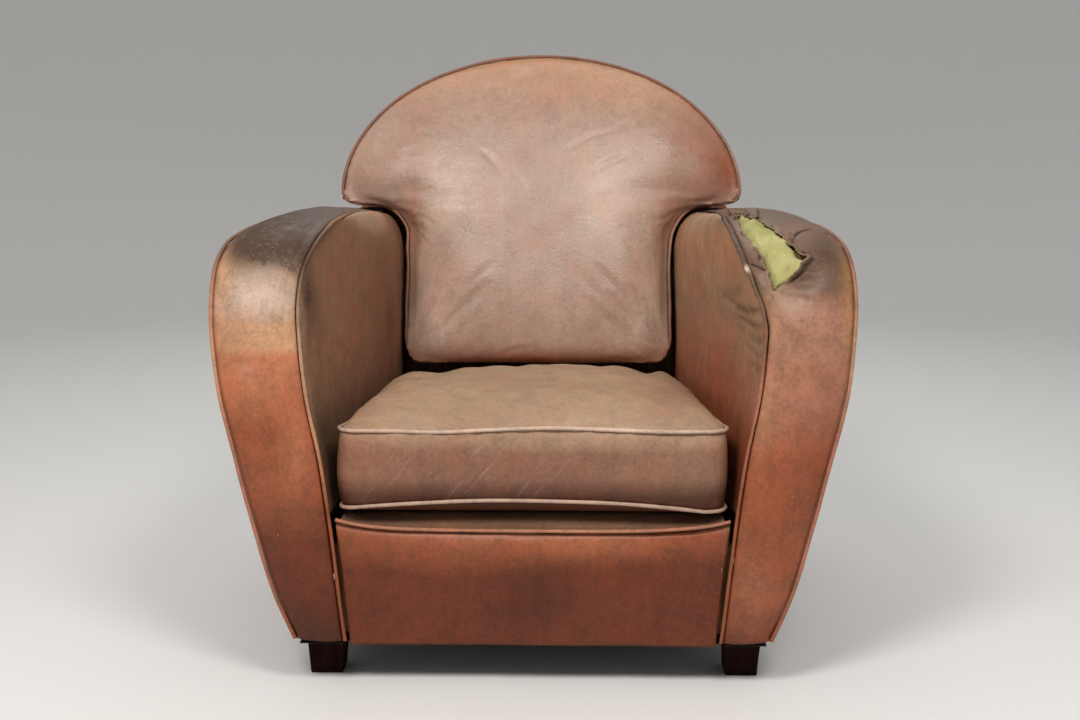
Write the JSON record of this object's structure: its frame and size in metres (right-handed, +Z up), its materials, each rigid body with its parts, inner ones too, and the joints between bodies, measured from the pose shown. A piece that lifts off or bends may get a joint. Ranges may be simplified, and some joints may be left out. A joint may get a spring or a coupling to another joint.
{
  "type": "club chair",
  "caption": "Low leather club armchair with an arched back, rounded piped arms, a loose seat cushion and short block feet, worn and torn on one arm.",
  "frame": {"origin": "on the floor, under the middle of the chair's bounding box", "axes": "+Z up, -Y toward the front of the seat, +X toward the sitter's left (the torn arm)"},
  "size_m": [0.8248, 0.8648, 0.8424],
  "materials": {
    "back_leather": "worn tan-pink sheep leather, polished pale on the crown, redder at the edges",
    "cushion_leather": "worn grey-brown leather with creases and faint scratches",
    "arm_leather": "mottled red-brown leather, grimy and dark on the arm tops",
    "side_leather": "grey-brown leather, lightly creased",
    "piping_leather": "leather-covered cord, scuffed paler along its crown",
    "foam": "aged yellow-green upholstery foam, matt and crumbly",
    "foot_wood": "dark mahogany stain, satin",
    "frame_wood": "plain beech, unfinished",
    "spring_steel": "plain spring wire",
    "webbing": "woven jute strap",
    "black_cloth": "black non-woven cloth"
  },
  "bodies": {
    "root": {"left_arm_band": "arm_leather", "right_arm_band": "arm_leather", "right_arm_band_foam": "foam", "left_arm_band_foam": "foam", "right_inside_arm_cover": "side_leather", "left_inside_arm_cover": "side_leather", "right_inside_arm_foam": "foam", "left_inside_arm_foam": "foam", "right_outside_arm_cover": "side_leather", "left_outside_arm_cover": "side_leather", "right_arm_inner_piping": "piping_leather", "left_arm_inner_piping": "piping_leather", "right_arm_outer_piping": "piping_leather", "left_arm_outer_piping": "piping_leather", "inside_back_cover": "back_leather", "inside_back_foam": "foam", "inside_back_piping": "piping_leather", "right_inside_back_facing": "side_leather", "left_inside_back_facing": "side_leather", "back_band": "back_leather", "outside_back_cover": "side_leather", "seat_cushion_cover": "cushion_leather", "seat_cushion_foam": "foam", "seat_cushion_zip": "black_cloth", "seat_cushion_top_piping": "piping_leather", "seat_cushion_bottom_piping": "piping_leather", "front_apron_cover": "arm_leather", "front_apron_piping": "piping_leather", "deck_cover": "side_leather", "deck_foam": "foam", "right_front_foot": "foot_wood", "left_front_foot": "foot_wood", "right_rear_foot": "foot_wood", "left_rear_foot": "foot_wood", "dust_cover": "black_cloth", "front_seat_rail": "frame_wood", "rear_seat_rail": "frame_wood", "right_side_seat_rail": "frame_wood", "left_side_seat_rail": "frame_wood", "right_front_corner_block": "frame_wood", "left_front_corner_block": "frame_wood", "right_rear_corner_block": "frame_wood", "left_rear_corner_block": "frame_wood", "right_arm_front_board": "frame_wood", "left_arm_front_board": "frame_wood", "right_arm_top_rail": "frame_wood", "left_arm_top_rail": "frame_wood", "right_back_post": "frame_wood", "left_back_post": "frame_wood", "back_top_rail": "frame_wood", "back_lower_rail": "frame_wood", "seat_spring_1": "spring_steel", "seat_spring_2": "spring_steel", "seat_spring_3": "spring_steel", "seat_spring_4": "spring_steel", "seat_spring_5": "spring_steel", "back_strap_1": "webbing", "back_strap_2": "webbing", "back_strap_3": "webbing"}
  },
  "joints": []
}
